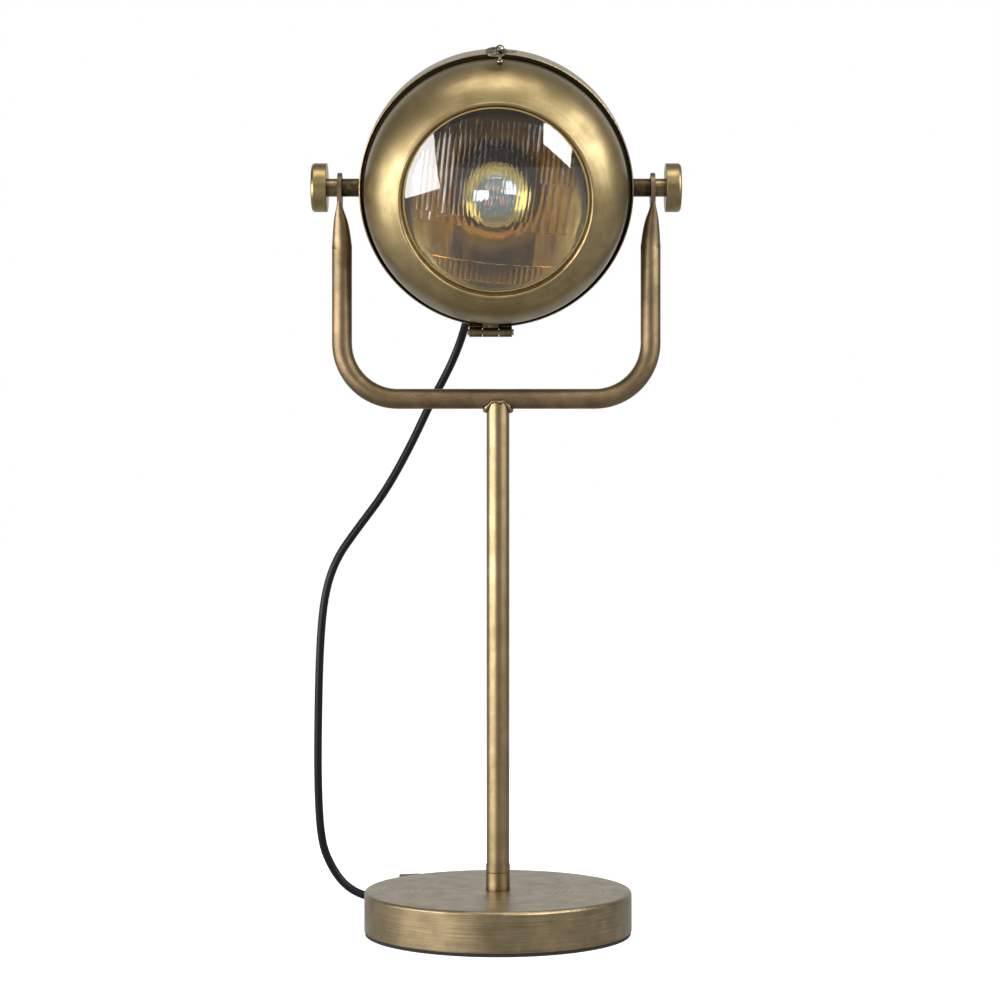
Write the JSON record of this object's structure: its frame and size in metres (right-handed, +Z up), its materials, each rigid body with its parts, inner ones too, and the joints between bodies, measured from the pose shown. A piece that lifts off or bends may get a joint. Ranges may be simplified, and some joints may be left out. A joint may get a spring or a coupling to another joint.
{
  "type": "tabletop searchlight lamp",
  "caption": "Searchlight-style table lamp: tilting drum head with fluted lens and hinged bezel, held in a U-shaped tube yoke on a stem and weighted round base.",
  "frame": {"origin": "middle of the lamp's box on the table surface", "axes": "+Z up, lens towards -Y, tilt axis along X"},
  "size_m": [0.2647, 0.2859, 0.6164],
  "materials": {
    "aged_brass": "brushed and lacquered, aged",
    "bright_brass": "polished edge",
    "dark_brass": "dark aged cast",
    "yoke_brass": "brushed tube, aged",
    "zinc_steel": "zinc plated",
    "cast_iron": "as cast",
    "felt": "felt pad",
    "lens_glass": "pressed clear glass",
    "bulb_glass": "clear blown glass",
    "gold_mirror": "gold vapour-coated reflector",
    "phenolic": "moulded phenolic",
    "nickel": "nickel plated cap",
    "filament": "phosphor coated strips",
    "seal_rubber": "rubber ring",
    "cord_black": "black mains cord",
    "black_plastic": "moulded plastic",
    "tie_black": "soft tie"
  },
  "bodies": {
    "stand": {"base_cover": "aged_brass", "base_weight": "cast_iron", "base_felt": "felt", "base_washer": "zinc_steel", "base_nut": "zinc_steel", "stem_foot": "yoke_brass", "stem_tube": "yoke_brass", "weld_bead": "dark_brass", "yoke_tube": "yoke_brass", "cord_drop": "cord_black", "cord_lead": "cord_black", "cord_coil": "cord_black", "cord_tail": "cord_black", "cord_tie": "tie_black", "switch_base": "black_plastic", "switch_cover": "black_plastic", "plug_body": "black_plastic", "plug_pins": "nickel"},
    "head": {"housing": "aged_brass", "cord_grip": "black_plastic", "pivot_sleeve_left": "dark_brass", "pivot_sleeve_right": "dark_brass", "pivot_nut_left": "zinc_steel", "pivot_nut_right": "zinc_steel", "lampholder": "phenolic", "holder_nipple": "zinc_steel", "holder_nuts": "dark_brass", "bulb_glass": "bulb_glass", "bulb_cap": "nickel", "bulb_stem": "bulb_glass", "bulb_filaments": "filament", "hinge_leaf_housing": "dark_brass", "hinge_pin": "zinc_steel"},
    "bezel": {"bezel_shell": "aged_brass", "lens_glass": "lens_glass", "lens_gasket": "seal_rubber", "reflector": "gold_mirror", "lens_clips": "zinc_steel", "hinge_leaf_bezel": "dark_brass", "latch_post": "bright_brass"},
    "latch": {"latch_clip": "dark_brass"},
    "knob_left": {"knob_left": "aged_brass", "knob_stud_left": "zinc_steel"},
    "knob_right": {"knob_right": "aged_brass", "knob_stud_right": "zinc_steel"},
    "rocker": {"switch_rocker": "black_plastic"}
  },
  "joints": [
    {"name": "head_tilt", "type": "hinge", "parent": "stand", "child": "head", "pos_m": [0, 0, 0.5213], "axis": [-1, 0, 0], "range_deg": [-40, 75], "deforming": ["cord_drop"]},
    {"name": "bezel_open", "type": "hinge", "parent": "head", "child": "bezel", "pos_m": [-0.004, 0.00447, 0.4205], "axis": [1, 0, 0], "range_deg": [0, 75]},
    {"name": "latch_turn", "type": "hinge", "parent": "bezel", "child": "latch", "pos_m": [0.0026, -0.06319, 0.6048], "axis": [0, -0.5299, 0.848], "range_deg": [0, 90]},
    {"name": "knob_left_turn", "type": "hinge", "parent": "head", "child": "knob_left", "pos_m": [-0.12, 0, 0.5213], "axis": [-1, 0, 0], "range_deg": [0, 180]},
    {"name": "knob_right_turn", "type": "hinge", "parent": "head", "child": "knob_right", "pos_m": [0.12, 0, 0.5213], "axis": [1, 0, 0], "range_deg": [0, 180]},
    {"name": "switch_rock", "type": "hinge", "parent": "stand", "child": "rocker", "pos_m": [-0.042, 0.108, 0.014], "axis": [0, 1, 0], "range_deg": [0, 16]}
  ]
}
